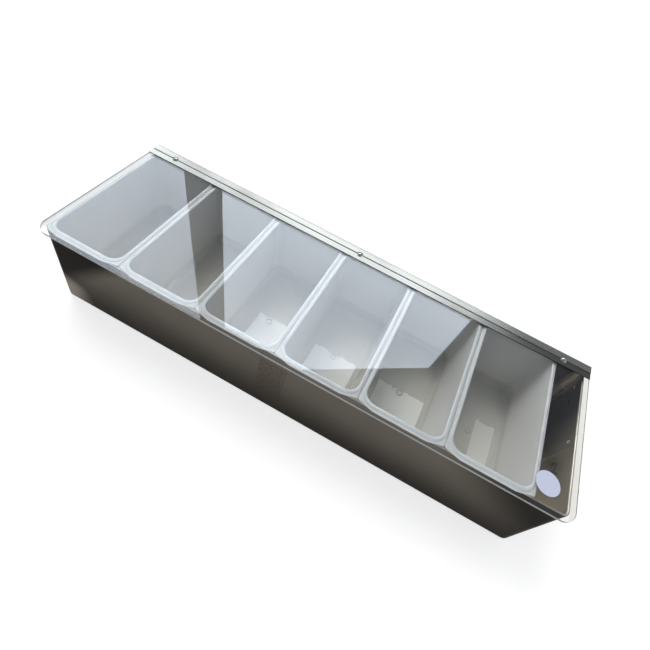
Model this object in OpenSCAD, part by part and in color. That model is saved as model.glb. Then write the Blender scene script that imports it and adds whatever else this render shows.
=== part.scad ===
// Condiment caddy: a long steel tray, a row of six plastic inserts and one
// clear lid that flips up on a piano hinge along the rear edge.
// Millimetres. +X to the right, +Y to the rear, +Z up.
// The origin is on the resting face, at the middle of the whole caddy.

/* [Tray] */
// Outside length of the tray
tray_length = 500; // [495:1:560]
// Outside depth of the tray, front to rear
tray_depth = 155; // [140:1:180]
// Height of the tray's rim
tray_height = 91; // [88:1:110]
// Thickness of the tray's sheet steel
tray_sheet = 0.9; // [0.7:0.1:1.2]
// Outside radius of the four upright corners
corner_radius = 7; // [6:0.5:9]
// Outside radius of the bend between the walls and the base
base_radius = 4.5; // [3:0.5:5.5]
// Width of the folded rim
hem_width = 2.5; // [2.2:0.1:3]
// How far the rim's fold reaches down inside the wall
hem_drop = 6.5; // [5:0.5:8]
// Place of the edge of the lap seam on both end walls, to the rear of the middle
seam_offset = 2; // [-15:1:25]
// Width of the lap at the seam
seam_lap = 8; // [8:1:24]
// Diameter of the heads of the end wall rivets
end_rivet_head = 4.6; // [4:0.1:6]
// Diameter of the shanks of the end wall rivets
end_rivet_shank = 2.8; // [2:0.1:3.2]
// Drop of the seam rivets below the rim
seam_rivet_drop = 11; // [11:0.5:20]
// Drop of the rear rivets below the rim
rear_rivet_drop = 14; // [11:0.5:20]
// Distance from the tray's rear face to the rear rivets
rear_rivet_inset = 11; // [10:0.5:20]

/* [Inserts] */
// Width of one insert over its flange
insert_width = 78; // [70:0.5:79]
// Gap between the flanges of two neighbours
insert_gap = 0.3; // [0.3:0.1:1]
// Distance from the tray's left face to the first flange
row_start = 0.6; // [0.2:0.1:1.2]
// How far the flanges reach past the tray's front and rear faces
flange_overhang = 1.4; // [1:0.1:1.9]
// Width of the flange at the front and rear
flange_front = 6.2; // [6:0.1:8]
// Width of the flange at the two sides
flange_side = 4; // [4:0.1:5]
// Distance from the flange's side to where its front edge starts to fall back
web_reach = 15; // [12:0.5:18]
// How far the front edge has fallen back at the flange's side
web_drop = 3.6; // [2:0.1:5]
// Radius of the flange's corners
web_radius = 2; // [1:0.5:3]
// Outside radius of the bead's corners
bead_radius = 11.9; // [11:0.1:13]
// Thickness of the flange
flange_thickness = 1.2; // [1:0.1:1.6]
// Height of the bead on top of the flange
bead_height = 0.7; // [0.4:0.1:1]
// Distance from the flange's edge to the bead at the front and rear
bead_setback_front = 1.7; // [1.2:0.1:2.4]
// Distance from the flange's edge to the bead at the two sides
bead_setback_side = 1.1; // [0.8:0.1:1.6]
// Thickness of the insert's walls and floor
insert_wall = 1.2; // [1:0.1:1.6]
// Radius of the insert's upright inside corners, at the top
opening_radius = 10.5; // [10.5:0.5:12]
// Draft of the insert's walls, in degrees
insert_draft = 2.5; // [1:0.25:2.5]
// Depth of the insert from its flange to its underside
insert_drop = 74; // [60:1:74]
// Inside radius between the insert's walls and floor
floor_radius = 7; // [4:0.5:7]
// Diameter of the ring moulded on the insert's floor
gate_ring = 7; // [5:0.5:12]
// Gap between the flange and the rim that it slides on
seat_gap = 0.2; // [0.1:0.1:0.4]

/* [Lid] */
// How far the lid reaches past the tray at each end
lid_end_overhang = 2.5; // [0:0.5:10]
// Thickness of the lid sheet
lid_thickness = 2.5; // [2:0.1:4]
// How far the lid reaches past the tray's front face
lid_overhang = 6.2; // [5:0.1:12]
// Radius of the lid's front corners
lid_radius = 12; // [6:1:20]
// Gap between the lid and the inserts' beads
lid_gap = 0.3; // [0.3:0.1:0.6]
// Diameter of the round label
label_diameter = 21; // [15:1:40]
// Thickness of the round label
label_thickness = 0.15; // [0.1:0.05:0.3]
// Distance from the lid's right edge to the label's middle
label_side = 25.5; // [22:0.5:60]
// Distance from the lid's front edge to the label's middle
label_front = 23.5; // [21:0.5:60]

/* [Hinge] */
// Width of the hinge strip on the lid
strip_width = 17.3; // [15:0.1:22]
// Thickness of the strip and of the rear leaf
leaf_sheet = 0.8; // [0.6:0.1:1]
// Width of the strip's raised rear band
band_width = 9.9; // [8:0.1:11]
// Height of the raised band above the strip
band_rise = 0.6; // [0.4:0.1:1]
// How far the strip reaches past the tray's rear face
strip_overhang = 6.2; // [6.2:0.1:8]
// Outside radius of the bend at the strip's rear edge
strip_bend = 2; // [1:0.1:2.4]
// Outside diameter of the hinge knuckles
knuckle_diameter = 4; // [3.6:0.1:4]
// Diameter of the hinge rod
rod_diameter = 2.2; // [1.8:0.1:2.2]
// Clearance between the rod and the strip's knuckles, all round
rod_clearance = 0.08; // [0.05:0.01:0.1]
// How far the rod stands out at each end of the strip
rod_end = 0.5; // [0.2:0.1:2]
// Drop of the hinge axis below the lid sheet
axis_drop = 2.4; // [2.4:0.1:3]
// Number of knuckles on both leaves together, an odd number
knuckle_count = 21; // [15:2:31]
// Gap between two knuckles
knuckle_gap = 0.4; // [0.3:0.1:0.8]
// How far the stop ledge reaches behind the hinge axis
ledge_reach = 1.14; // [0.8:0.02:1.14]
// Gap between the knuckles and the stop ledge under them
ledge_gap = 0.65; // [0.65:0.05:1]
// Height of the rear leaf on the tray's rear wall
leaf_height = 17; // [14:1:24]

/* [Rivets] */
// Diameter of the domed heads on the strip
lid_rivet_head = 6; // [5:0.1:7]
// Height of the domed heads on the strip
lid_rivet_rise = 1.8; // [1.2:0.1:2.2]
// Diameter of the shanks through the lid
lid_rivet_shank = 3.2; // [2.4:0.1:3.6]
// Diameter of the flush tails under the lid
lid_rivet_tail = 5.4; // [4.6:0.1:6]
// Distance from the strip's ends to the outer rivets
lid_rivet_inset = 28; // [15:1:60]
// Number of rivets that hold the rear leaf
leaf_rivet_count = 5; // [3:1:9]
// Diameter of the heads of the rear leaf's rivets
leaf_rivet_head = 5; // [4:0.1:6]
// Diameter of the shanks of the rear leaf's rivets
leaf_rivet_shank = 3; // [2.4:0.1:3.4]
// Clearance of a rivet's shank in its hole, all round
shank_clearance = 0.05; // [0.02:0.01:0.1]

/* [Hidden] */
$fn = 64;
insert_count = 6;
tiny = 0.01;

// Tray: inside faces and the space between its corner centres
half_length = tray_length / 2;
half_depth = tray_depth / 2;
tray_cx = half_length - corner_radius;
tray_cy = half_depth - corner_radius;
wall_inside_x = half_length - tray_sheet;
wall_inside_y = half_depth - tray_sheet;
lap_inside_x = wall_inside_x - tray_sheet;
hem_bottom = tray_height - hem_drop;

// Inserts: heights, opening and the space between their corner centres
insert_pitch = insert_width + insert_gap;
flange_bottom = tray_height + seat_gap;
flange_top = flange_bottom + flange_thickness;
bead_top = flange_top + bead_height;
insert_depth = tray_depth + 2 * flange_overhang;
opening_x = insert_width - 2 * flange_side;
opening_y = insert_depth - 2 * flange_front;
insert_cx = opening_x / 2 - opening_radius;
insert_cy = opening_y / 2 - opening_radius;
insert_base = flange_bottom - insert_drop;

// Lid and strip heights
lid_bottom = bead_top + lid_gap;
lid_top = lid_bottom + lid_thickness;
strip_top = lid_top + leaf_sheet;
band_top = strip_top + band_rise;
lid_length = tray_length + 2 * lid_end_overhang;
lid_front_y = -half_depth - lid_overhang;
strip_rear_y = half_depth + strip_overhang;
strip_front_y = strip_rear_y - strip_width;
band_front_y = strip_rear_y - band_width;
lid_rear_y = strip_rear_y - leaf_sheet;

// Hinge axis and knuckles
axis_y = strip_rear_y - knuckle_diameter / 2;
axis_z = lid_bottom - axis_drop;
bore_diameter = rod_diameter + 2 * rod_clearance;
knuckle_pitch = lid_length / knuckle_count;
lid_rivet_x = lid_length / 2 - lid_rivet_inset;
leaf_top = axis_z - knuckle_diameter / 2 - ledge_gap;
slot_z = axis_z + knuckle_diameter / 2;
web_top = lid_bottom + lid_thickness / 2;
leaf_bottom = leaf_top - leaf_height;
leaf_rivet_z = leaf_bottom + leaf_height / 2 - leaf_sheet;
leaf_rivet_span = lid_length - 4 * knuckle_pitch;

steel = [0.62, 0.6, 0.57];
bright_steel = [0.8, 0.8, 0.79];
milky_plastic = [0.85, 0.87, 0.88];
clear_plastic = [0.8, 0.86, 0.85, 0.35];
paper = [0.95, 0.95, 0.97];

// Shared shapes -----------------------------------------------------------

// A rectangle with rounded corners, centred
module rounded_rect(width, depth, radius) {
    square([width - 2 * radius, depth], center = true);
    square([width, depth - 2 * radius], center = true);
    for (sx = [-1, 1], sy = [-1, 1])
        translate([sx * (width / 2 - radius), sy * (depth / 2 - radius)]) circle(radius);
}

// Sweeps a section round a rectangle whose corner centres are at (cx, cy).
// The section's x is measured outwards from the corner centres.
module sweep_round(cx, cy) {
    for (turn = [0, 1, 2, 3]) {
        sx = (turn == 0 || turn == 3) ? 1 : -1;
        sy = turn < 2 ? 1 : -1;
        along = turn % 2 == 0 ? cy : cx;
        out = turn % 2 == 0 ? cx : cy;
        translate([sx * cx, sy * cy, 0])
            rotate([0, 0, 90 * turn]) rotate_extrude(angle = 90) children();
        rotate([0, 0, 90 * turn]) translate([out, along, 0])
            rotate([90, 0, 0]) linear_extrude(2 * along) children();
    }
}

// Half section of a cup: a wall that leans by draft, with a rounded foot
module cup_section(top_radius, top_z, foot_z, foot_radius, draft) {
    foot_x = top_radius - (top_z - foot_z - foot_radius) * tan(draft)
        - foot_radius / cos(draft);
    polygon([[0, foot_z], [foot_x, foot_z],
             [foot_x + foot_radius * cos(draft), foot_z + foot_radius * (1 - sin(draft))],
             [top_radius, top_z], [0, top_z]]);
    intersection() {
        translate([foot_x, foot_z + foot_radius]) circle(foot_radius);
        translate([foot_x, foot_z]) square(foot_radius);
    }
}

// A rivet's domed head that stands on z = 0
module dome(diameter, rise) {
    ball = (diameter * diameter / 4 + rise * rise) / (2 * rise);
    intersection() {
        translate([0, 0, rise - ball]) sphere(ball);
        cylinder(d = diameter, h = rise);
    }
}

// A rivet along +Z: head on z = 0, shank down, low dome at the far side
module end_rivet(head, rise, shank, grip) {
    dome(head, rise);
    translate([0, 0, -grip]) cylinder(d = shank, h = grip + tiny);
    translate([0, 0, -grip]) mirror([0, 0, 1]) dome(head, rise * 0.8);
}

// Tray ---------------------------------------------------------------------

// The folded rim: sheet bent over a narrow slot that is open below
module hem_section() {
    slot = hem_width - 2 * tray_sheet;
    inside = corner_radius - hem_width;
    difference() {
        union() {
            translate([inside, hem_bottom]) square([hem_width, hem_drop - hem_width / 2]);
            translate([inside + hem_width / 2, tray_height - hem_width / 2])
                circle(hem_width / 2);
        }
        translate([inside + tray_sheet, hem_bottom - 1])
            square([slot, hem_drop - hem_width / 2 + 1]);
        translate([inside + hem_width / 2, tray_height - hem_width / 2]) circle(slot / 2);
    }
}

module tray_section() {
    difference() {
        cup_section(corner_radius, tray_height - hem_width / 2, 0, base_radius, 0);
        cup_section(corner_radius - tray_sheet, tray_height, tray_sheet,
                    base_radius - tray_sheet, 0);
    }
    hem_section();
}

// Places something on the inside of the right and of the left end wall, with
// its +Z pointing into the tray
module on_end_walls(y, z, face) {
    for (side = [-1, 1])
        translate([side * face, y, z]) rotate([0, -90 * side, 0]) children();
}

module seam_rivet_holes(grip) {
    rotate([0, 180, 0]) translate([0, 0, -1])
        cylinder(d = end_rivet_shank + 2 * shank_clearance, h = grip + 2);
}

rear_rivet_y = half_depth - rear_rivet_inset;
seam_rivet_y = seam_offset - 3;

module tray() {
    color(steel) difference() {
        union() {
            sweep_round(tray_cx, tray_cy) tray_section();
            translate([-tray_cx, -tray_cy, 0]) cube([2 * tray_cx, 2 * tray_cy, tray_sheet]);
            for (side = [-1, 1])
                translate([side * (wall_inside_x + lap_inside_x + tiny) / 2,
                           seam_offset - seam_lap / 2,
                           (base_radius + hem_bottom) / 2])
                    cube([tray_sheet + tiny, seam_lap, hem_bottom - base_radius - 1],
                         center = true);
        }
        on_end_walls(seam_rivet_y, tray_height - seam_rivet_drop, lap_inside_x)
            seam_rivet_holes(2 * tray_sheet);
        on_end_walls(rear_rivet_y, tray_height - rear_rivet_drop, wall_inside_x)
            seam_rivet_holes(tray_sheet);
        for (x = leaf_rivet_places()) translate([x, half_depth + 1, leaf_rivet_z])
            rotate([90, 0, 0])
                cylinder(d = leaf_rivet_shank + 2 * shank_clearance, h = tray_sheet + 2);
        // the rim's fold is butted at the seam
        for (side = [-1, 1])
            translate([side * (wall_inside_x - hem_width), seam_offset, tray_height])
                cube([2 * hem_width, 0.5, 4 * hem_drop], center = true);
    }
}

module seam_rivets() {
    color(bright_steel)
        on_end_walls(seam_rivet_y, tray_height - seam_rivet_drop, lap_inside_x)
            end_rivet(end_rivet_head, 1.1, end_rivet_shank, 2 * tray_sheet);
}

module rear_end_rivets() {
    color(bright_steel)
        on_end_walls(rear_rivet_y, tray_height - rear_rivet_drop, wall_inside_x)
            end_rivet(end_rivet_head, 1.1, end_rivet_shank, tray_sheet);
}

// Inserts ------------------------------------------------------------------

module insert_shell() {
    sweep_round(insert_cx, insert_cy) difference() {
        cup_section(opening_radius + insert_wall, flange_bottom + tiny, insert_base,
                    floor_radius + insert_wall, insert_draft);
        cup_section(opening_radius, flange_bottom + 2 * tiny, insert_base + insert_wall,
                    floor_radius, insert_draft);
    }
    translate([-insert_cx, -insert_cy, insert_base])
        cube([2 * insert_cx, 2 * insert_cy, insert_wall]);
}

// The flange's corners are webs: the front and rear edges fall back towards the sides
module flange_outline() {
    x = insert_width / 2;
    y = insert_depth / 2;
    fall = atan(web_drop / web_reach);
    tangent = web_radius * tan((90 - fall) / 2);
    corner = [[x, y - web_drop - tangent],
              [x - tangent * cos(fall), y - web_drop + tangent * sin(fall)],
              [x - web_reach, y]];
    for (sx = [-1, 1], sy = [-1, 1]) {
        polygon([for (point = concat([[0, 0], [x, 0]], corner, [[0, y]]))
                 [sx * point[0], sy * point[1]]]);
        translate([sx * (x - web_radius), sy * (y - web_drop - tangent)]) circle(web_radius);
    }
}

module insert_flange() {
    translate([0, 0, flange_bottom]) linear_extrude(flange_thickness) difference() {
        flange_outline();
        rounded_rect(opening_x, opening_y, opening_radius);
    }
    translate([0, 0, flange_top - tiny]) linear_extrude(bead_height + tiny) difference() {
        rounded_rect(insert_width - 2 * bead_setback_side,
                     insert_depth - 2 * bead_setback_front, bead_radius);
        rounded_rect(opening_x, opening_y, opening_radius);
    }
}

module gate_mark() {
    translate([0, 0, insert_base + insert_wall - tiny]) difference() {
        cylinder(d = gate_ring, h = 0.3);
        translate([0, 0, -1]) cylinder(d = gate_ring - 1.6, h = 3);
    }
}

// Insert number 1 is at the left end of the row
module insert(number) {
    x = -half_length + row_start + insert_width / 2 + (number - 1) * insert_pitch;
    color(milky_plastic) translate([x, 0, 0]) {
        insert_shell();
        insert_flange();
        gate_mark();
    }
}

// Lid ----------------------------------------------------------------------

module lid_outline() {
    depth = lid_rear_y - lid_front_y;
    middle_y = (lid_rear_y + lid_front_y) / 2;
    translate([0, middle_y]) union() {
        rounded_rect(lid_length, depth, lid_radius);
        translate([-lid_length / 2, 0]) square([lid_length, depth / 2]);
    }
}

module lid_rivet_places() {
    for (x = [-lid_rivet_x, 0, lid_rivet_x]) translate([x, band_front_y, 0]) children();
}

// Shank and countersunk tail of a rivet through the strip and the sheet
module lid_rivet_core(extra) {
    countersink = (lid_rivet_tail - lid_rivet_shank) / 2;
    translate([0, 0, lid_bottom - extra]) {
        cylinder(d = lid_rivet_shank + 2 * extra,
                 h = strip_top - lid_bottom + 2 * extra + tiny);
        cylinder(d1 = lid_rivet_tail + 2 * extra, d2 = lid_rivet_shank + 2 * extra,
                 h = countersink);
    }
}

module lid_sheet() {
    color(clear_plastic) difference() {
        translate([0, 0, lid_bottom]) linear_extrude(lid_thickness) lid_outline();
        lid_rivet_places() lid_rivet_core(shank_clearance);
    }
}

module round_label() {
    color(paper)
        translate([lid_length / 2 - label_side, lid_front_y + label_front, lid_top])
            cylinder(d = label_diameter, h = label_thickness);
}

// Hinge --------------------------------------------------------------------

// Knuckle number k runs along X between its two gaps
function knuckle_x(k) = -lid_length / 2 + k * knuckle_pitch;

// Extrudes a section that is drawn in (y, z) along X
module along_x(x0, x1) {
    translate([x0, 0, 0]) rotate([90, 0, 90]) linear_extrude(x1 - x0) children();
}

// Outside of the strip, less the space of the lid sheet under and before it
module strip_section() {
    bend_y = strip_rear_y - strip_bend;
    difference() {
        union() {
            translate([strip_front_y, web_top]) square([band_width, strip_top - web_top]);
            translate([band_front_y, web_top])
                square([strip_rear_y - band_front_y, band_top - strip_bend - web_top]);
            translate([band_front_y + band_rise, web_top])
                square([bend_y - band_front_y - band_rise, band_top - web_top]);
            translate([band_front_y + band_rise, strip_top]) circle(band_rise);
            translate([bend_y, band_top - strip_bend]) intersection() {
                circle(strip_bend);
                square(strip_bend);
            }
        }
        translate([strip_front_y - 1, web_top - 1])
            square([lid_rear_y - strip_front_y + 1, lid_top - web_top + 1]);
    }
}

module knuckle(k) {
    along_x(knuckle_x(k) + knuckle_gap / 2, knuckle_x(k + 1) - knuckle_gap / 2) children();
}

module barrel() {
    translate([axis_y, axis_z]) circle(d = knuckle_diameter);
}

module rod_bore(diameter) {
    along_x(-lid_length, lid_length) translate([axis_y, axis_z]) circle(d = diameter);
}

module hinge_strip() {
    color(bright_steel) difference() {
        along_x(-lid_length / 2, lid_length / 2) strip_section();
        lid_rivet_places() {
            lid_rivet_core(shank_clearance);
            translate([0, 0, strip_top]) cylinder(d = lid_rivet_head + 0.6, h = 5);
        }
    }
}

// The strip's web behind the lid sheet and the knuckles rolled from it. It is
// one sheet with the strip and meets it at the height web_top.
module strip_knuckles() {
    color(bright_steel) difference() {
        union() {
            along_x(-lid_length / 2, lid_length / 2)
                translate([lid_rear_y, slot_z]) square([leaf_sheet, web_top - slot_z]);
            for (k = [0 : 2 : knuckle_count - 1]) knuckle(k) {
                barrel();
                translate([lid_rear_y, axis_z])
                    square([leaf_sheet, slot_z - axis_z + tiny]);
            }
        }
        rod_bore(bore_diameter);
    }
}

module lid_rivets() {
    color(bright_steel) lid_rivet_places() {
        lid_rivet_core(0);
        translate([0, 0, strip_top]) dome(lid_rivet_head, lid_rivet_rise);
    }
}

module hinge_rod() {
    color(steel)
        along_x(-lid_length / 2 - rod_end, lid_length / 2 + rod_end)
            translate([axis_y, axis_z]) circle(d = rod_diameter);
}

function leaf_rivet_places() = [for (i = [0 : leaf_rivet_count - 1])
    leaf_rivet_span * (i / (leaf_rivet_count - 1) - 0.5)];

// Plate on the rear wall, and the ledge that the open lid comes to rest on
module leaf_section() {
    translate([half_depth, leaf_bottom]) square([leaf_sheet, leaf_height]);
    translate([half_depth, leaf_top - leaf_sheet])
        square([axis_y + ledge_reach - half_depth, leaf_sheet]);
}

module rear_leaf() {
    color(steel) difference() {
        union() {
            along_x(-half_length + corner_radius, half_length - corner_radius) leaf_section();
            for (k = [1 : 2 : knuckle_count - 2]) knuckle(k) {
                barrel();
                translate([axis_y - knuckle_diameter / 2, leaf_top - tiny])
                    square([leaf_sheet, axis_z - leaf_top + tiny]);
            }
        }
        rod_bore(rod_diameter);
        for (x = leaf_rivet_places()) translate([x, half_depth + 2, leaf_rivet_z])
            rotate([90, 0, 0])
                cylinder(d = leaf_rivet_shank + 2 * shank_clearance, h = 4);
    }
}

module leaf_rivets() {
    grip = leaf_sheet + tray_sheet;
    color(bright_steel) for (x = leaf_rivet_places())
        translate([x, half_depth + leaf_sheet, leaf_rivet_z]) rotate([-90, 0, 0]) {
            dome(leaf_rivet_head, 1.2);
            translate([0, 0, -grip]) cylinder(d = leaf_rivet_shank, h = grip + tiny);
            translate([0, 0, -grip]) mirror([0, 0, 1]) cylinder(d = leaf_rivet_head, h = 0.6);
        }
}

tray();
seam_rivets();
rear_end_rivets();
insert(1);  // insert_1
insert(2);  // insert_2
insert(3);  // insert_3
insert(4);  // insert_4
insert(5);  // insert_5
insert(6);  // insert_6
lid_sheet();
round_label();
hinge_strip();
strip_knuckles();
lid_rivets();
hinge_rod();
rear_leaf();
leaf_rivets();
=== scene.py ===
# Looks of the condiment caddy: a steel tray, six milky inserts and a clear lid.
# Sizes are in millimetres and turned to metres by mm().
import math
import bmesh
import bpy
from mathutils import Matrix, Vector


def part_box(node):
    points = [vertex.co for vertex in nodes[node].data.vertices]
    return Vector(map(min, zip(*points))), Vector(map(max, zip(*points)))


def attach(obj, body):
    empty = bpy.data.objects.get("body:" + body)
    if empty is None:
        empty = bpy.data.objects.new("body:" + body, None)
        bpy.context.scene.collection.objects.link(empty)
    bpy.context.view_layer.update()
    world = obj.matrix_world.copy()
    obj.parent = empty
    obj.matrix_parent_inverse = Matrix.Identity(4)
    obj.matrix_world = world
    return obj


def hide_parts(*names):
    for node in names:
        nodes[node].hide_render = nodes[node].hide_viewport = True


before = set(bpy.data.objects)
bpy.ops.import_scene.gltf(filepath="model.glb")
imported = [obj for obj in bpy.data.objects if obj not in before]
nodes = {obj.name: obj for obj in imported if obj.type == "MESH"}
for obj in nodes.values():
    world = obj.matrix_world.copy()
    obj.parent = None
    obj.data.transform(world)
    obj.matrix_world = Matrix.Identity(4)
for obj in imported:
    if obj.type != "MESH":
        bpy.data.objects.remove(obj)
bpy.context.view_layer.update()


def mm(*values):
    """Millimetres to metres: one number, or a tuple of them."""
    metres = tuple(v / 1000 for v in values)
    return metres if len(metres) > 1 else metres[0]


# ---------------------------------------------------------------- sizes, as in the solids
TRAY_X, TRAY_Y = 250.0, 77.5  # half the tray
TRAY_CORNER_R, TRAY_FOOT_R = 7.0, 4.5  # outside radius of its upright corners and its foot
INSERT_COUNT = 6
OPENING_X, OPENING_Y = 35.0, 72.7  # half the opening
OPENING_R = 10.5
FLANGE_X, FLANGE_Y = 39.0, 78.9  # half the flange
WEB_REACH, WEB_DROP, WEB_R = 15.0, 3.6, 2.0  # the webs at the flange's corners
FLANGE_BOTTOM, FLANGE_TOP, BEAD_TOP = 91.2, 92.4, 93.1
BEAD_X, BEAD_Y = 2.9, 4.5  # width of the bead at the sides and at the front
INSERT_BASE, INSERT_WALL = 17.2, 1.2
FLOOR_TOP = INSERT_BASE + INSERT_WALL
FLOOR_R = 7.0
DRAFT = math.radians(2.5)
GATE_RING = 7.0
LID_X = 252.5  # half the lid's length
LID_TOP, LID_FRONT = 95.9, -83.7
BAND_FRONT = 73.8  # front edge of the strip's raised band
LABEL_R, LABEL_THICK = 10.5, 0.15
LABEL_AT = (LID_X - 25.5, LID_FRONT + 23.5)


# ---------------------------------------------------------------- camera
CAMERA_AT = (48.289, -264.540, 407.117)
CAMERA_TURN = (0.626573, -0.219713, 0.457250)  # about X, Y and Z, in radians
SENSOR_WIDTH, FOCAL_LENGTH = 36, 24.574


def place_camera():
    """The camera looks down on the caddy from the front right."""
    camera = bpy.data.objects.new("camera", bpy.data.cameras.new("camera"))
    bpy.context.scene.collection.objects.link(camera)
    camera.location = mm(*CAMERA_AT)
    camera.rotation_euler = CAMERA_TURN
    camera.data.sensor_width = SENSOR_WIDTH
    camera.data.lens = FOCAL_LENGTH
    camera.data.clip_start = mm(10)
    bpy.context.scene.camera = camera


place_camera()


# ---------------------------------------------------------------- materials
def linear(hex_colour):
    """An sRGB hex colour as linear red, green, blue and alpha."""
    out = []
    for i in (0, 2, 4):
        c = int(hex_colour[i:i + 2], 16) / 255
        out.append(c / 12.92 if c <= 0.04045 else ((c + 0.055) / 1.055) ** 2.4)
    return (*out, 1.0)


def add(tree, kind, settings=None, **links):
    """Adds a node. settings are its properties, with stops for the points of a colour ramp.
    links are the values, sockets or nodes for its inputs, each called by its identifier
    with _ for a space, or by i and its number."""
    made = tree.nodes.new("ShaderNode" + kind)
    for name, value in (settings or {}).items():
        if name == "stops":
            set_stops(made.color_ramp.elements, value)
        else:
            setattr(made, name, value)
    inputs = {socket.identifier.replace(" ", "_"): socket for socket in made.inputs}
    inputs.update({f"i{number}": socket for number, socket in enumerate(made.inputs)})
    for name, value in links.items():
        if isinstance(value, bpy.types.Node):
            value = next(socket for socket in value.outputs if socket.enabled)
        if isinstance(value, bpy.types.NodeSocket):
            tree.links.new(value, inputs[name])
        else:
            inputs[name].default_value = value
    return made


def set_stops(points, stops):
    """Gives a colour ramp its stops: the position and the hex colour, or the grey, of each."""
    while len(points) < len(stops):
        points.new(0.5)
    for point, (position, colour) in zip(points, stops):
        point.position = position
        point.color = linear(colour) if isinstance(colour, str) else (colour, colour, colour, 1)


def fade(start, full, first=0.0, last=1.0):
    """The inputs for a change from first, where a value is start, to last, where it is
    full."""
    return {"From_Min": start, "From_Max": full, "To_Min": first, "To_Max": last}


# Settings that many nodes share.
SMOOTH = {"interpolation_type": "SMOOTHSTEP"}
COLOURS = {"data_type": "RGBA"}
PLUS, MINUS, TIMES = {"operation": "ADD"}, {"operation": "SUBTRACT"}, {"operation": "MULTIPLY"}
LARGER, UNSIGNED = {"operation": "MAXIMUM"}, {"operation": "ABSOLUTE"}
LENGTH = {"operation": "LENGTH"}
LOW, HIGH = 0.3, 0.7  # nearly all of a noise lies between these


def new_material(name):
    """A material with no nodes yet, and its tree."""
    material = bpy.data.materials.new(name)
    material.use_nodes = True
    tree = material.node_tree
    tree.nodes.clear()
    return material, tree


def in_mm(tree, scale=(1, 1, 1)):
    """A point of the piece in millimetres, times scale."""
    coords = add(tree, "TexCoord").outputs["Object"]
    return add(tree, "VectorMath", TIMES, i0=coords, i1=tuple(1000 * s for s in scale))


def place(tree):
    """How far along, how deep and how high a point of the piece is, in millimetres."""
    return tuple(add(tree, "SeparateXYZ", Vector=in_mm(tree)).outputs)


def level(tree):
    """1 where the surface lies level, down to 0 where it stands upright."""
    normal = add(tree, "TexCoord").outputs["Normal"]
    up = add(tree, "SeparateXYZ", Vector=normal).outputs["Z"]
    return add(tree, "Math", UNSIGNED, i0=up)


def patch(tree, *edges):
    """1 inside a patch, else 0. edges are its soft sides: what each is measured by, and its
    fade."""
    inside = 1.0
    for measure, edge in edges:
        side = add(tree, "MapRange", SMOOTH, Value=measure, **edge)
        inside = add(tree, "Math", TIMES, i0=inside, i1=side)
    return inside


# The tray's painted reflection and shade: how the shine of its sheet fades, in mm along it,
# into its depth or up from its foot. The outside is painted dark, darkest at its ends and its
# foot, with a painted highlight at the foot of the left end. The inside is painted darker to
# the rear, with painted highlights on its two rounded rear corners.
END_SLANT = 1.2  # how much further in a painted dark end reaches with each mm of height
LEFT_END, RIGHT_END = fade(262, 294, 0, 0.95), fade(235, 320, 0, 0.85)
TO_FOOT = fade(78, -5, 0.16, 0.03)
LIT_FOOT_END, LIT_FOOT_TOP, LIT_FOOT_SHINE = fade(-205, -242), fade(42, 20), 0.32
TO_REAR_INSIDE = fade(-10, 42, 1.0, 0.35)
CORNER_END, CORNER_REAR = fade(239.5, 241.5), fade(67, 69)
THROUGH_SHEET = fade(TRAY_FOOT_R - 0.65, TRAY_FOOT_R - 0.2)


def outside_of_tray(tree):
    """1 on the outside of the tray's sheet and 0 on its inside, told by the distance from
    the line that the corners and the foot are rounded about."""
    apart = add(tree, "VectorMath", UNSIGNED, i0=in_mm(tree))
    along, deep, high = add(tree, "SeparateXYZ", Vector=apart).outputs
    over = add(tree, "VectorMath", MINUS, i0=add(tree, "CombineXYZ", X=along, Y=deep),
               i1=(TRAY_X - TRAY_CORNER_R, TRAY_Y - TRAY_CORNER_R, 0))
    over = add(tree, "VectorMath", LARGER, i0=over, i1=(0, 0, 0))
    out = add(tree, "VectorMath", LENGTH, i0=over)
    out = add(tree, "Math", MINUS, i0=out, i1=TRAY_CORNER_R - TRAY_FOOT_R)
    down = add(tree, "Math", MINUS, i0=TRAY_FOOT_R, i1=high)
    over = add(tree, "CombineXYZ", X=out, Y=down)
    over = add(tree, "VectorMath", LARGER, i0=over, i1=(0, 0, 0))
    return add(tree, "MapRange", SMOOTH, Value=add(tree, "VectorMath", LENGTH, i0=over),
               **THROUGH_SHEET)


def painted_reflection_and_shade(tree):
    """Painted reflection and shade: how much shine the tray's sheet has kept, from 1 at the
    front of its inside down to a painted dark outside. The outside is painted darkest toward
    its ends, beyond slanting lines, and at its foot, but the foot of the left end keeps a
    painted highlight. The inside is painted darker to the rear, all but its two rounded
    corners, which keep a painted highlight."""
    along, deep, high = place(tree)
    slant = add(tree, "Math", TIMES, i0=high, i1=END_SLANT)
    left = add(tree, "Math", MINUS, i0=slant, i1=along)
    right = add(tree, "Math", PLUS, i0=slant, i1=along)
    ends = add(tree, "Math", LARGER,
               i0=add(tree, "MapRange", SMOOTH, Value=left, **LEFT_END),
               i1=add(tree, "MapRange", SMOOTH, Value=right, **RIGHT_END))
    outside = add(tree, "Math", TIMES, i0=add(tree, "Math", MINUS, i0=1.0, i1=ends),
                  i1=add(tree, "MapRange", SMOOTH, Value=high, **TO_FOOT))
    # Painted highlight: the foot of the left end is kept lighter.
    lit_foot = patch(tree, (along, LIT_FOOT_END), (high, LIT_FOOT_TOP))
    outside = add(tree, "Math", LARGER, i0=outside,
                  i1=add(tree, "Math", TIMES, i0=lit_foot, i1=LIT_FOOT_SHINE))
    either_end = add(tree, "Math", UNSIGNED, i0=along)
    # Painted shade inside toward the rear, with painted highlights on the two rounded corners.
    inside = add(tree, "Math", LARGER,
                 i0=add(tree, "MapRange", SMOOTH, Value=deep, **TO_REAR_INSIDE),
                 i1=patch(tree, (either_end, CORNER_END), (deep, CORNER_REAR)))
    return add(tree, "Mix", Factor_Float=outside_of_tray(tree), A_Float=inside,
               B_Float=outside)


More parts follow.
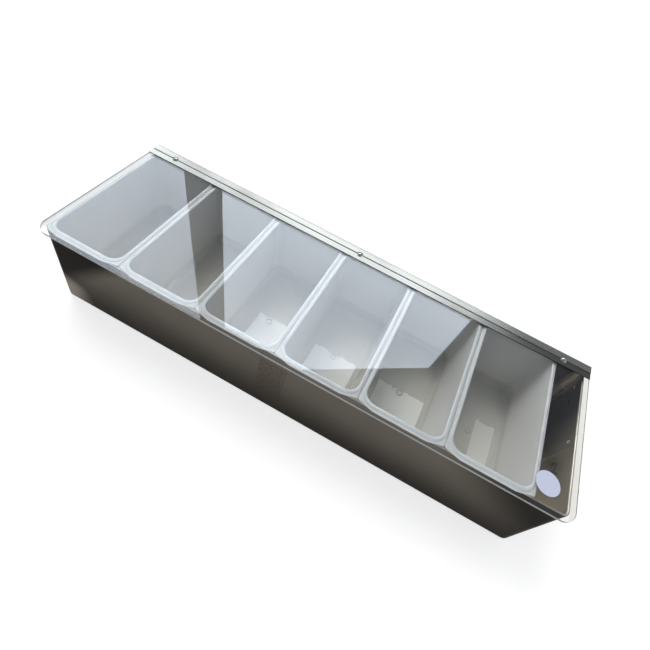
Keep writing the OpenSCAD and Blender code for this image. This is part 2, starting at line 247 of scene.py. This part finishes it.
# The residue of a strip of tape on the tray's front: its sides in mm, how its glue is broken
# up, and how much of the steel's colour the glue hides.
TAPE_LEFT, TAPE_RIGHT = fade(-26, -25), fade(2, 1)
TAPE_FOOT, TAPE_HEAD, ON_FRONT = fade(20, 24), fade(80, 78), fade(0, -1)
BROKEN_UP, GLUE_HIDES = fade(0.4, 0.6), 0.55


def tape_residue(tree):
    """1 where old tape has left a broken film of glue on the tray's front, else 0."""
    along, deep, high = place(tree)
    broken = add(tree, "TexNoise", Vector=in_mm(tree), Scale=0.4, Detail=5, Roughness=0.7)
    return patch(tree, (along, TAPE_LEFT), (along, TAPE_RIGHT), (high, TAPE_FOOT),
                 (high, TAPE_HEAD), (deep, ON_FRONT), (broken, BROKEN_UP))


LINED = 0.35  # how far the grain, and not the cloud, sets a steel's colour
CLOUD_HIGH = 0.72


def rolled_sheet(tree, dark, light, lines_per_mm):
    """Rolled stainless steel sheet: its grain along X, and its colour, which the grain and a
    faint cloud move between dark and light. The grain's lines are drawn coarser than they
    are, so that they show."""
    grain = add(tree, "TexNoise", Vector=in_mm(tree, (0.006, 1, 1)), Scale=lines_per_mm,
                Detail=3, Roughness=0.6)
    cloud = add(tree, "TexNoise", Vector=in_mm(tree), Scale=0.013, Detail=3, Roughness=0.55)
    clouded = add(tree, "ValToRGB", {"stops": ((LOW, dark), (CLOUD_HIGH, light))}, Fac=cloud)
    lined = add(tree, "ValToRGB", {"stops": ((LOW, dark), (HIGH, light))}, Fac=grain)
    colour = add(tree, "Mix", COLOURS, Factor_Float=LINED, A_Color=clouded, B_Color=lined)
    return grain, colour


def finish_steel(tree, grain, colour, smooth, rough, line_depth=0.25, glancing=1.0):
    """Gives steel its shine, smeared between smooth and rough. glancing is how much of the
    shine at a glancing angle is left."""
    smear = add(tree, "TexNoise", Vector=in_mm(tree, (0.25, 1, 1)), Scale=0.04, Detail=2,
                Roughness=0.5)
    shader = add(tree, "BsdfPrincipled", Base_Color=colour, Metallic=1.0,
                 Roughness=add(tree, "MapRange", Value=smear, **fade(LOW, HIGH, smooth, rough)),
                 Specular_Tint=(glancing, glancing, glancing, 1),
                 Normal=add(tree, "Bump", Strength=line_depth, Distance=mm(0.02),
                            Height=grain))
    add(tree, "OutputMaterial", Surface=shader)


def make_tray_steel():
    """Cold rolled stainless steel sheet: a dull brown-grey mirror with a fine rolling grain,
    under painted reflection and shade."""
    material, tree = new_material("cold_rolled_stainless_steel")
    grain, colour = rolled_sheet(tree, "d3c9b9", "e6dccd", lines_per_mm=1.6)
    # Painted reflection and shade: mixes the sheet toward dark brown where its shine is painted
    # away.
    colour = add(tree, "Mix", COLOURS, Factor_Float=painted_reflection_and_shade(tree),
                 A_Color=linear("0c0a08"), B_Color=colour)
    glue = add(tree, "Math", TIMES, i0=tape_residue(tree), i1=GLUE_HIDES)
    colour = add(tree, "Mix", COLOURS, Factor_Float=glue, A_Color=colour,
                 B_Color=linear("3a2c26"))
    finish_steel(tree, grain, colour, smooth=0.26, rough=0.40, glancing=0.55)
    return material


# How much shine the strip keeps under painted shade, from its left end (0) to its right end
# (1): less in its middle.
STRIP_PAINTED_SHADE = ((0.14, 0.9), (0.22, 0.56), (0.72, 0.56), (0.84, 1.0))
TO_STRIP_ENDS = fade(-TRAY_X, TRAY_X)
# Painted shade on the front ledge before the raised band, darker toward the right, and a
# painted dark reflection on the sheared edge faces.
BEFORE_BAND = fade(BAND_FRONT + 0.5, BAND_FRONT - 0.5)
SHADE_TO_RIGHT = fade(40, 240, 0.05, 0.62)
TO_STRIP_FACE = fade(0.55, 0.85)  # from a sheared edge, by how level it is


def make_strip_steel():
    """Bright rolled stainless strip with a fine line along it, under painted shade that darkens
    its middle. Its sheared edges carry a painted dark reflection, and its front ledge has
    painted shade that darkens toward the right."""
    material, tree = new_material("bright_rolled_stainless_strip")
    grain, colour = rolled_sheet(tree, "b6b2a5", "d2cdc0", lines_per_mm=0.5)
    along, deep = place(tree)[:2]
    # Painted shade: the strip is darker in its middle.
    share = add(tree, "MapRange", Value=along, **TO_STRIP_ENDS)
    shine = add(tree, "ValToRGB", {"stops": STRIP_PAINTED_SHADE}, Fac=share)
    colour = add(tree, "Mix", {**COLOURS, "blend_type": "MULTIPLY"}, Factor_Float=1.0,
                 A_Color=colour, B_Color=shine)
    # Painted shade on the front ledge, darker toward the right.
    shaded_ledge = patch(tree, (deep, BEFORE_BAND), (along, SHADE_TO_RIGHT))
    colour = add(tree, "Mix", COLOURS, Factor_Float=shaded_ledge, A_Color=colour,
                 B_Color=linear("4a463f"))
    # Painted dark reflection on the sheared edge faces, told by how level a face is.
    face = add(tree, "MapRange", SMOOTH, Value=level(tree), **TO_STRIP_FACE)
    colour = add(tree, "Mix", COLOURS, Factor_Float=face, A_Color=linear("37352f"),
                 B_Color=colour)
    finish_steel(tree, grain, colour, smooth=0.22, rough=0.32, line_depth=0.1)
    return material


def make_hinge_steel():
    """Plain stainless hinge stock, a little duller than the strip."""
    material, tree = new_material("plain_stainless_hinge_stock")
    grain, colour = rolled_sheet(tree, "8f8c87", "aaa7a2", lines_per_mm=1.6)
    finish_steel(tree, grain, colour, smooth=0.28, rough=0.40)
    return material


def make_rivet_steel():
    """Headed stainless wire: nearly a mirror, with faint marks of the rivet set."""
    material, tree = new_material("headed_stainless_rivet_wire")
    marks = add(tree, "TexNoise", Vector=in_mm(tree), Scale=1.1, Detail=3, Roughness=0.6)
    colour = add(tree, "ValToRGB", {"stops": ((LOW, "b4b2ad"), (HIGH, "d8d7d3"))}, Fac=marks)
    shader = add(tree, "BsdfPrincipled", Base_Color=colour, Metallic=1.0,
                 Roughness=add(tree, "MapRange", Value=marks, **fade(LOW, HIGH, 0.10, 0.24)),
                 Normal=add(tree, "Bump", Strength=0.15, Distance=mm(0.05), Height=marks))
    add(tree, "OutputMaterial", Surface=shader)
    return material


# Painted patches of light on four insert floors: left, right and ragged rear edge of each in
# mm, and how white each patch is.
LIGHT_PATCHES = ((-67.8, -28, 5, 1.0), (1.5, 51, 4, 1.0), (78, 130, 3, 1.0), (186, 207, 17, 0.7))
PATCHES_FRONT = fade(-60.0, -59.6)
IN_FLOOR = fade(FLOOR_TOP + 1.0, FLOOR_TOP + 0.6)
RAGGED_WANDER = 6.0  # how far the ragged edge wanders to either side
RAGGED_BLUR, SIDE_BLUR = 0.3, 0.2


def painted_light_patches(tree):
    """1 where a painted patch of light lies on an insert's floor, else 0."""
    along, deep, high = place(tree)
    ragged = add(tree, "TexNoise", Vector=in_mm(tree), Scale=0.16, Detail=4, Roughness=0.6)
    wander = add(tree, "Math", {"operation": "MULTIPLY_ADD"}, i0=ragged, i1=2 * RAGGED_WANDER, i2=-RAGGED_WANDER)
    rear = add(tree, "Math", PLUS, i0=deep, i1=wander)
    found = 0.0
    for left, right, back_edge, white in LIGHT_PATCHES:
        label = patch(tree, (along, fade(left - SIDE_BLUR, left + SIDE_BLUR)),
                      (along, fade(right + SIDE_BLUR, right - SIDE_BLUR, 0.0, white)),
                      (rear, fade(back_edge + RAGGED_BLUR, back_edge - RAGGED_BLUR)))
        found = add(tree, "Math", LARGER, i0=found, i1=label)
    low_front = patch(tree, (deep, PATCHES_FRONT), (high, IN_FLOOR))
    return add(tree, "Math", TIMES, i0=found, i1=low_front)


# Heights in an insert, in mm, where the look of its plastic changes.
WALL_TO_FLOOR = fade(75, 20)
INTO_RIM = fade(90.0, 92.0)
# The flange is painted lighter, against the shade between beads, and the bead's top darker,
# against its highlight.
ONTO_BEAD = fade(92.45, 92.85)
FLOOR_TO_WALL_ALPHA = fade(17, 34, 0.47, 0.85)  # the thin floor lets the steel show through
GLINT_SIZE = fade(0.02, 0.05)  # radius of a painted glint, as a share of the space between two


def make_insert_plastic():
    """Injection moulded natural polypropylene: milky and glossy. Light soaks through the
    thin walls, the dark steel shows through the floor, and the thick rim looks white.
    Small white specks are painted glints, the flange and bead top carry painted shade and
    highlight, and painted patches of light lie on four floors."""
    material, tree = new_material("moulded_natural_polypropylene")
    high = place(tree)[2]
    flow = add(tree, "TexNoise", Vector=in_mm(tree, (1, 0.35, 1)), Scale=0.03, Detail=3,
               Roughness=0.5)
    colour = add(tree, "ValToRGB", {"stops": ((LOW, "e8e9ee"), (HIGH, "eff0f5"))}, Fac=flow)
    colour = add(tree, "Mix", COLOURS, A_Color=colour, B_Color=linear("ebeae4"),
                 Factor_Float=add(tree, "MapRange", Value=high, **WALL_TO_FLOOR))
    rim = add(tree, "MapRange", Value=high, **INTO_RIM)
    # Painted shade and highlight: flange lighter, bead top darker, so that the rim reads even.
    rim_colour = add(tree, "Mix", COLOURS, A_Color=linear("d0d3d7"), B_Color=linear("c3c8d0"),
                     Factor_Float=add(tree, "MapRange", Value=high, **ONTO_BEAD))
    colour = add(tree, "Mix", COLOURS, Factor_Float=rim, A_Color=colour, B_Color=rim_colour)
    # Painted glints: small white specks scattered over the plastic.
    glint_cells = add(tree, "TexVoronoi", Vector=in_mm(tree), Scale=0.09)
    colour = add(tree, "Mix", COLOURS, A_Color=linear("ffffff"), B_Color=colour,
                 Factor_Float=add(tree, "MapRange", SMOOTH, Value=glint_cells, **GLINT_SIZE))
    alpha = add(tree, "MapRange", SMOOTH, Value=high, **FLOOR_TO_WALL_ALPHA)
    alpha = add(tree, "Math", LARGER, i0=alpha, i1=rim)
    # Painted patches of light on four floors: near white and opaque.
    paper = painted_light_patches(tree)
    colour = add(tree, "Mix", COLOURS, Factor_Float=paper, A_Color=colour,
                 B_Color=linear("fafaf6"))
    alpha = add(tree, "Math", LARGER, i0=alpha, i1=paper)
    haze = add(tree, "TexNoise", Vector=in_mm(tree), Scale=0.02, Detail=3, Roughness=0.5)
    shader = add(tree, "BsdfPrincipled", Base_Color=colour, IOR=1.49, Specular_IOR_Level=0.3,
                 Roughness=add(tree, "MapRange", Value=haze, **fade(LOW, HIGH, 0.05, 0.10)),
                 Alpha=alpha, Subsurface_Weight=1.0, Subsurface_Radius=(1.0, 1.0, 1.0),
                 Subsurface_Scale=mm(5.0))
    add(tree, "OutputMaterial", Surface=shader)
    return material


# Where the lid's ends that overhang the tray are tinted grey, in mm along, and how a sawn edge
# differs from the lid's faces.
GREY_RIGHT, GREY_LEFT = fade(246.5, 248.5), fade(-246.5, -248.5)
TO_SAWN = fade(0.75, 0.35)  # from a face, by how level it is
SAWN_ROUGHNESS, SAWN_CLEARNESS = 0.45, 0.45


def make_lid_acrylic():
    """Clear cast acrylic sheet. Its sawn edges are frosted, and the ends that overhang the tray
    are tinted grey, the left end greyer. Rays from lamps pass straight through, as they do
    through thin sheet."""
    material, tree = new_material("clear_cast_acrylic_sheet")
    along = place(tree)[0]
    colour = add(tree, "Mix", COLOURS, A_Color=linear("fafbf9"), B_Color=linear("eae9e4"),
                 Factor_Float=add(tree, "MapRange", SMOOTH, Value=along, **GREY_RIGHT))
    colour = add(tree, "Mix", COLOURS, A_Color=colour, B_Color=linear("c9c9c4"),
                 Factor_Float=add(tree, "MapRange", SMOOTH, Value=along, **GREY_LEFT))
    sawn = add(tree, "MapRange", SMOOTH, Value=level(tree), **TO_SAWN)
    colour = add(tree, "Mix", COLOURS, Factor_Float=sawn, A_Color=colour,
                 B_Color=linear("bcc0bd"))
    clear = add(tree, "BsdfPrincipled", Base_Color=colour, IOR=1.49,
                Roughness=add(tree, "Math", TIMES, i0=sawn, i1=SAWN_ROUGHNESS),
                Transmission_Weight=add(tree, "MapRange", SMOOTH, Value=sawn,
                                        **fade(0, 1, 1.0, SAWN_CLEARNESS)))
    lamp = add(tree, "LightPath").outputs["Is Shadow Ray"]
    shader = add(tree, "MixShader", Fac=lamp, i1=clear,
                 i2=add(tree, "BsdfTransparent", Color=linear("fafbf9")))
    add(tree, "OutputMaterial", Surface=shader)
    return material


def make_label_paper():
    """Coated white label paper with a thin semi-gloss coat. The mottle of its fibres is
    drawn coarser than it is, so that it shows."""
    material, tree = new_material("coated_label_paper")
    fibres = add(tree, "TexNoise", Vector=in_mm(tree), Scale=1.4, Detail=4, Roughness=0.7)
    colour = add(tree, "ValToRGB", {"stops": ((LOW, "ccd3ea"), (HIGH, "d7def3"))}, Fac=fibres)
    shader = add(tree, "BsdfPrincipled", Base_Color=colour, Roughness=0.45,
                 Normal=add(tree, "Bump", Strength=0.1, Distance=mm(0.03), Height=fibres))
    add(tree, "OutputMaterial", Surface=shader)
    return material


tray_steel = make_tray_steel()
strip_steel = make_strip_steel()
hinge_steel = make_hinge_steel()
rivet_steel = make_rivet_steel()
insert_plastic = make_insert_plastic()
lid_acrylic = make_lid_acrylic()
label_paper = make_label_paper()


# ---------------------------------------------------------------- modelling helpers
MERGE = 0.002  # points closer than this, in mm, are one
SMOOTH_ANGLE = math.radians(35)  # faces that meet at less than this are shaded as one
FLAT_ANGLE = math.radians(0.5)  # faces that meet at less than this are made one
EASE_ANGLE, EASE_STEPS = math.radians(40), 2  # edges sharper than this are eased
CORNER_STEPS, WEB_STEPS, ROUND_STEPS = 8, 4, 10  # faces round a corner, a web and a bead
ROUND_SIDES, RING_SIDES = 72, 32  # faces round the label and the moulding ring
NEAR = 0.01  # how close to a side, in mm, its points are


def deselect():
    if bpy.context.mode != "OBJECT":
        bpy.ops.object.mode_set(mode="OBJECT")
    bpy.ops.object.select_all(action="DESELECT")


def start_piece(name):
    """An empty mesh object at the origin, made active in edit mode."""
    deselect()
    piece = bpy.data.objects.new(name, bpy.data.meshes.new(name))
    bpy.context.scene.collection.objects.link(piece)
    bpy.context.view_layer.objects.active = piece
    piece.select_set(True)
    bpy.ops.object.mode_set(mode="EDIT")
    bpy.ops.mesh.select_mode(type="VERT")
    return piece


def shade(piece):
    """Smooth shading that leaves the wide flat faces flat."""
    bpy.ops.object.shade_smooth_by_angle(angle=SMOOTH_ANGLE)
    flat = piece.modifiers.new("flat_faces_stay_flat", "WEIGHTED_NORMAL")
    flat.keep_sharp = True
    bpy.ops.object.modifier_apply(modifier=flat.name)


def end_piece(piece):
    """Merges doubles, points the faces outwards and shades the piece."""
    bpy.ops.mesh.select_all(action="SELECT")
    bpy.ops.mesh.remove_doubles(threshold=mm(MERGE))
    bpy.ops.mesh.normals_make_consistent(inside=False)
    bpy.ops.object.mode_set(mode="OBJECT")
    piece.data.attributes.remove(piece.data.attributes["loop"])
    shade(piece)
    deselect()


def finish_piece(piece, material, body, replaced):
    """Gives a piece its material, and its place in the model: the body that it rides on and
    the CAD node that it stands for."""
    piece.data.materials.clear()
    piece.data.materials.append(material)
    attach(piece, body)
    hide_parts(replaced)


def edit_mesh():
    """The mesh in edit mode and the layer that holds each vertex's loop number."""
    mesh = bmesh.from_edit_mesh(bpy.context.object.data)
    layer = mesh.verts.layers.int.get("loop") or mesh.verts.layers.int.new("loop")
    return mesh, layer


def select_verts(wanted):
    """Selects the vertices that wanted(vertex, its loop number) is true for."""
    mesh, layer = edit_mesh()
    bpy.ops.mesh.select_all(action="DESELECT")
    for vert in mesh.verts:
        vert.select = wanted(vert, vert[layer])
    mesh.select_flush(True)
    bmesh.update_edit_mesh(bpy.context.object.data)


def number_new_loop():
    """Gives the vertices that have no loop number yet the next one, and returns it."""
    mesh, layer = edit_mesh()
    number = 1 + max(vert[layer] for vert in mesh.verts)
    for vert in mesh.verts:
        if vert[layer] == 0:
            vert[layer] = number
    return number


def add_plane(half_x, half_y, z):
    """Adds a level rectangle about the middle, with all of it selected."""
    edit_mesh()
    bpy.ops.mesh.select_all(action="DESELECT")
    bpy.ops.mesh.primitive_plane_add(size=1, location=(0, 0, mm(z)))
    bpy.ops.transform.resize(value=(mm(2 * half_x), mm(2 * half_y), 1),
                             center_override=(0, 0, mm(z)))


def rounded_loop(half_x, half_y, radius, z):
    """Adds the outline of a rounded rectangle as a loop of edges."""
    add_plane(half_x, half_y, z)
    bpy.ops.mesh.bevel(offset=mm(radius), segments=CORNER_STEPS, affect="VERTICES")
    bpy.ops.mesh.delete(type="ONLY_FACE")
    return number_new_loop()


def web_loop(back, z):
    """Adds the flange's outline, set back by back, with its webs at the corners."""
    half_x, half_y = FLANGE_X - back, FLANGE_Y - back
    add_plane(half_x, half_y, z)
    bpy.ops.mesh.bevel(offset=mm(WEB_DROP), segments=1, affect="VERTICES")
    select_verts(lambda vert, loop: loop == 0 and abs(vert.co.y) > mm(half_y - NEAR))
    bpy.ops.transform.resize(value=((half_x - WEB_REACH) / (half_x - WEB_DROP), 1, 1),
                             center_override=(0, 0, mm(z)))
    fall = math.atan(WEB_DROP / WEB_REACH)
    select_verts(lambda vert, loop: loop == 0 and abs(vert.co.x) > mm(half_x - NEAR))
    bpy.ops.mesh.bevel(offset=mm(WEB_R * math.tan((math.pi / 2 - fall) / 2)),
                       segments=WEB_STEPS, affect="VERTICES")
    select_verts(lambda vert, loop: loop == 0)
    bpy.ops.mesh.delete(type="ONLY_FACE")
    return number_new_loop()


def round_loop(radius, x, y, z, sides):
    """Adds a circle as a loop of edges."""
    edit_mesh()
    bpy.ops.mesh.select_all(action="DESELECT")
    bpy.ops.mesh.primitive_circle_add(vertices=sides, radius=mm(radius), fill_type="NOTHING",
                                      location=mm(x, y, z))
    return number_new_loop()


def skin(loops, close_ends=True):
    """Bridges each loop to the next and closes the first and the last with a face."""
    for pair in zip(loops, loops[1:]):
        select_verts(lambda vert, loop: loop in pair)
        bpy.ops.mesh.bridge_edge_loops()
    if close_ends:
        for end in (loops[0], loops[-1]):
            select_verts(lambda vert, loop: loop == end)
            bpy.ops.mesh.edge_face_add()


def cad_copy(name, node, edge_mm):
    """A CAD node's mesh as a piece of its own, merged, with its sharp edges eased."""
    deselect()
    piece = bpy.data.objects.new(name, nodes[node].data.copy())
    bpy.context.scene.collection.objects.link(piece)
    bpy.context.view_layer.objects.active = piece
    piece.select_set(True)
    bpy.ops.object.mode_set(mode="EDIT")
    bpy.ops.mesh.select_all(action="SELECT")
    bpy.ops.mesh.remove_doubles(threshold=mm(MERGE))
    bpy.ops.mesh.dissolve_limited(angle_limit=FLAT_ANGLE)
    bpy.ops.object.mode_set(mode="OBJECT")
    ease = piece.modifiers.new("eased_edges", "BEVEL")
    ease.width = mm(edge_mm)
    ease.segments = EASE_STEPS
    ease.limit_method = "ANGLE"
    ease.angle_limit = EASE_ANGLE
    bpy.ops.object.modifier_apply(modifier=ease.name)
    shade(piece)
    deselect()
    return piece


# ---------------------------------------------------------------- inserts
LAP = 0.03  # a section ends this far above the flange's face, so that no loops are level
BEAD_SINK = 0.25  # how far below the flange's top the bead's round section starts
BEAD_FULLNESS = 0.8  # 1 would make the bead's section a plain sine arch


def cup(rim, foot, radius):
    """Section of a cup wall from its foot up: (half x, half y, corner radius, height)."""
    cx, cy = OPENING_X - OPENING_R, OPENING_Y - OPENING_R
    foot_x = rim - (FLANGE_BOTTOM - foot - radius) * math.tan(DRAFT) - radius / math.cos(DRAFT)
    turn = math.pi / 2 - DRAFT
    for i in range(CORNER_STEPS + 1):
        angle = turn * i / CORNER_STEPS
        rho = foot_x + radius * math.sin(angle)
        yield cx + rho, cy + rho, rho, foot + radius * (1 - math.cos(angle))
    yield cx + rim, cy + rim, rim, FLANGE_BOTTOM + LAP


def bead():
    """Section of the soft bead round the opening, from the inside out."""
    rise = BEAD_TOP - FLANGE_TOP + BEAD_SINK
    for i in range(ROUND_STEPS + 1):
        angle = math.pi * i / ROUND_STEPS
        out = (1 - math.cos(angle)) / 2
        z = BEAD_TOP - rise * (1 - math.sin(angle) ** BEAD_FULLNESS)
        if i == ROUND_STEPS:
            z = FLANGE_TOP + LAP
        yield OPENING_X + BEAD_X * out, OPENING_Y + BEAD_Y * out, OPENING_R + BEAD_X * out, z


def flange_lip():
    """Section of the flange's thin lip, from its top to its underside: (set back, height)."""
    return ((0.45, FLANGE_TOP), (0.18, FLANGE_TOP - 0.09), (0.0, FLANGE_TOP - 0.4),
            (0.0, FLANGE_BOTTOM + 0.25), (0.3, FLANGE_BOTTOM))


# The moulding ring, a short tube with a rounded top: how far in from its rim, and how far
# above the floor.
RING_SECTION = ((0, -0.2), (0, 0.1), (0.1, 0.25), (0.4, 0.3), (0.7, 0.25), (0.8, 0.1),
                (0.8, -0.2))


def make_insert():
    """One insert about x = 0, with the moulding ring on its floor."""
    piece = start_piece("insert_pattern")
    inside = cup(OPENING_R, FLOOR_TOP, FLOOR_R)
    outside = cup(OPENING_R + INSERT_WALL, INSERT_BASE, FLOOR_R + INSERT_WALL)
    skin([rounded_loop(*station) for station in inside]
         + [rounded_loop(*station) for station in bead()]
         + [web_loop(*station) for station in flange_lip()]
         + [rounded_loop(*station) for station in reversed(list(outside))])
    loops = [round_loop(GATE_RING / 2 - inward, 0, 0, FLOOR_TOP + rise, RING_SIDES)
             for inward, rise in RING_SECTION]
    skin([*loops, loops[0]], close_ends=False)
    end_piece(piece)
    return piece


def make_inserts():
    """Copies one insert to its six places along the tray."""
    pattern = make_insert()
    for number in range(1, INSERT_COUNT + 1):
        node = f"insert_{number}"
        low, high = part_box(node)
        piece = bpy.data.objects.new(f"milky_{node}", pattern.data.copy())
        bpy.context.scene.collection.objects.link(piece)
        piece.data.transform(Matrix.Translation(((low[0] + high[0]) / 2, 0, 0)))
        finish_piece(piece, insert_plastic, f"{node}_body", node)
    bpy.data.objects.remove(pattern)


make_inserts()


# ---------------------------------------------------------------- lid, strip and hinge
ACRYLIC_EASE, STEEL_EASE = 0.3, 0.12  # width of the eased edges
for node, ease, material, body, slot in (
        ("lid_sheet", ACRYLIC_EASE, lid_acrylic, "lid", "clear_lid"),
        ("hinge_strip", STEEL_EASE, strip_steel, "lid", "strip_steel"),
        ("strip_knuckles", STEEL_EASE, strip_steel, "lid", "strip_steel"),
        ("rear_leaf", STEEL_EASE, hinge_steel, "tray_body", "hinge_steel")):
    finish_piece(cad_copy(f"{node}_eased", node, ease), material, body, node)


# The label's section: radius and height above the lid. The label stands just clear of the
# lid, so that its underside is lit through the acrylic.
LABEL_SECTION = ((LABEL_R, 0.02), (LABEL_R, 0.10), (LABEL_R - 0.05, LABEL_THICK),
                 (LABEL_R - 1, 0.14), (LABEL_R * 0.5, 0.13))


def make_label():
    """A round paper label, its edge a little lifted where it was pressed on."""
    piece = start_piece("round_label_paper")
    skin([round_loop(radius, *LABEL_AT, LID_TOP + rise, ROUND_SIDES)
          for radius, rise in LABEL_SECTION])
    end_piece(piece)
    return piece


finish_piece(make_label(), label_paper, "lid", "round_label")


# ---------------------------------------------------------------- CAD nodes kept as they are
for node, material in (("tray", tray_steel), ("seam_rivets", rivet_steel),
                       ("rear_end_rivets", rivet_steel), ("lid_rivets", rivet_steel),
                       ("leaf_rivets", rivet_steel), ("hinge_rod", hinge_steel)):
    for slot in nodes[node].material_slots:
        slot.material = material


# ---------------------------------------------------------------- floor and light
def seen_ray(tree):
    """1 for what the camera sees, also in steel and through plastic, and 0 for light that
    a dull surface has scattered on the way."""
    path = add(tree, "LightPath").outputs
    seen = add(tree, "Math", LARGER, i0=path["Is Camera Ray"], i1=path["Is Glossy Ray"])
    seen = add(tree, "Math", LARGER, i0=seen, i1=path["Is Transmission Ray"])
    direct = add(tree, "Math", {"operation": "LESS_THAN"}, i0=path["Diffuse Depth"], i1=0.5)
    return add(tree, "Math", TIMES, i0=seen, i1=direct)


WHITE = (1, 1, 1, 1)
FLOOR_SIZE = 14  # metres
PAPER_WHITE, SHADOW_WHITE = (0.85, 0.85, 0.85, 1), (0.5, 0.5, 0.5, 1)
FLOOR_GLOW = 0.66


def make_floor():
    """A white floor. It shows white, with the caddy's shadow, to the camera and in steel and
    plastic, and lights the caddy like plain pale paper."""
    deselect()
    bpy.ops.mesh.primitive_plane_add(size=FLOOR_SIZE, location=(0, 0, 0))
    floor = bpy.context.object
    floor.name = "floor"
    material, tree = new_material("white_floor")
    glowing = add(tree, "AddShader", i0=add(tree, "BsdfDiffuse", Color=SHADOW_WHITE),
                  i1=add(tree, "Emission", Color=WHITE, Strength=FLOOR_GLOW))
    shader = add(tree, "MixShader", Fac=seen_ray(tree), i2=glowing,
                 i1=add(tree, "BsdfDiffuse", Color=PAPER_WHITE))
    add(tree, "OutputMaterial", Surface=shader)
    floor.data.materials.append(material)
    deselect()


# The lamp panels, in metres: size and centre of the plane that each is cut from, its cuts
# and its strength. A cut is a point on the edge and the direction that is kept.
CEILING = 2.2
PANEL_COLOUR = (0.78, 0.87, 1.0, 1)
PANELS = {
    "left_panel": (6, (-2.6, 2.6, CEILING),
                   (((-1.059, 1.257), (-0.763, -0.646)), ((-2.0, 1.0), (0, 1)),
                    ((-2.0, 3.0), (0, -1)), ((-3.6, 2.0), (1, 0))), 3.5),
    "middle_panel": (6, (-0.3, 2.6, CEILING),
                     (((-0.804, 1.184), (0.824, 0.566)), ((-0.162, 1.178), (0, 1)),
                      ((0.503, 1.681), (-0.563, 0.826)), ((0.503, 1.681), (-0.965, 0.261)),
                      ((0.0, 3.0), (0, -1))), 4.7),
    "dim_ceiling": (12, (0, 0, CEILING + 0.1), (), 0.28)}


def light_panel(name, size, centre, cuts, strength):
    """A flat lamp panel under the ceiling, trimmed to a straight-edged shape."""
    deselect()
    bpy.ops.mesh.primitive_plane_add(size=size, location=centre)
    panel = bpy.context.object
    panel.name = name
    bpy.ops.object.transform_apply(location=True)
    bpy.ops.object.mode_set(mode="EDIT")
    for point, keep in cuts:
        bpy.ops.mesh.select_all(action="SELECT")
        bpy.ops.mesh.bisect(plane_co=(*point, centre[2]), plane_no=(*keep, 0),
                            clear_inner=True)
    bpy.ops.object.mode_set(mode="OBJECT")
    material, tree = new_material(name)
    shader = add(tree, "MixShader", Fac=seen_ray(tree), i1=add(tree, "BsdfTransparent"),
                 i2=add(tree, "Emission", Color=PANEL_COLOUR, Strength=strength))
    add(tree, "OutputMaterial", Surface=shader)
    material.cycles.emission_sampling = "FRONT_BACK"
    panel.data.materials.append(material)
    panel.visible_camera = False
    panel.visible_diffuse = False
    panel.visible_shadow = False
    deselect()


KEY_TOWARDS = (0.5, -0.4, -1.0)
KEY_ENERGY, KEY_SPREAD, KEY_COLOUR = 1.05, math.radians(25), (1.0, 0.99, 0.97)
ROOM_COLOUR, ROOM_STRENGTH = (0.96, 0.97, 1.0, 1), 0.6


def light_scene():
    """Lamp panels that show in the lid and the steel, a soft key light from the rear left,
    and an even room. What is seen of the room is white."""
    for name, panel in PANELS.items():
        light_panel(name, *panel)
    key = bpy.data.objects.new("key", bpy.data.lights.new("key", "SUN"))
    bpy.context.scene.collection.objects.link(key)
    key.data.energy = KEY_ENERGY
    key.data.angle = KEY_SPREAD
    key.data.color = KEY_COLOUR
    key.visible_glossy = False
    key.rotation_euler = Vector(KEY_TOWARDS).to_track_quat("-Z", "Y").to_euler()
    world = bpy.data.worlds.new("studio")
    bpy.context.scene.world = world
    world.use_nodes = True
    tree = world.node_tree
    tree.nodes.clear()
    shader = add(tree, "MixShader", Fac=seen_ray(tree),
                 i1=add(tree, "Background", Color=ROOM_COLOUR, Strength=ROOM_STRENGTH),
                 i2=add(tree, "Background", Color=WHITE, Strength=1.0))
    add(tree, "OutputWorld", Surface=shader)
    bpy.context.scene.view_settings.view_transform = "Standard"


make_floor()
light_scene()
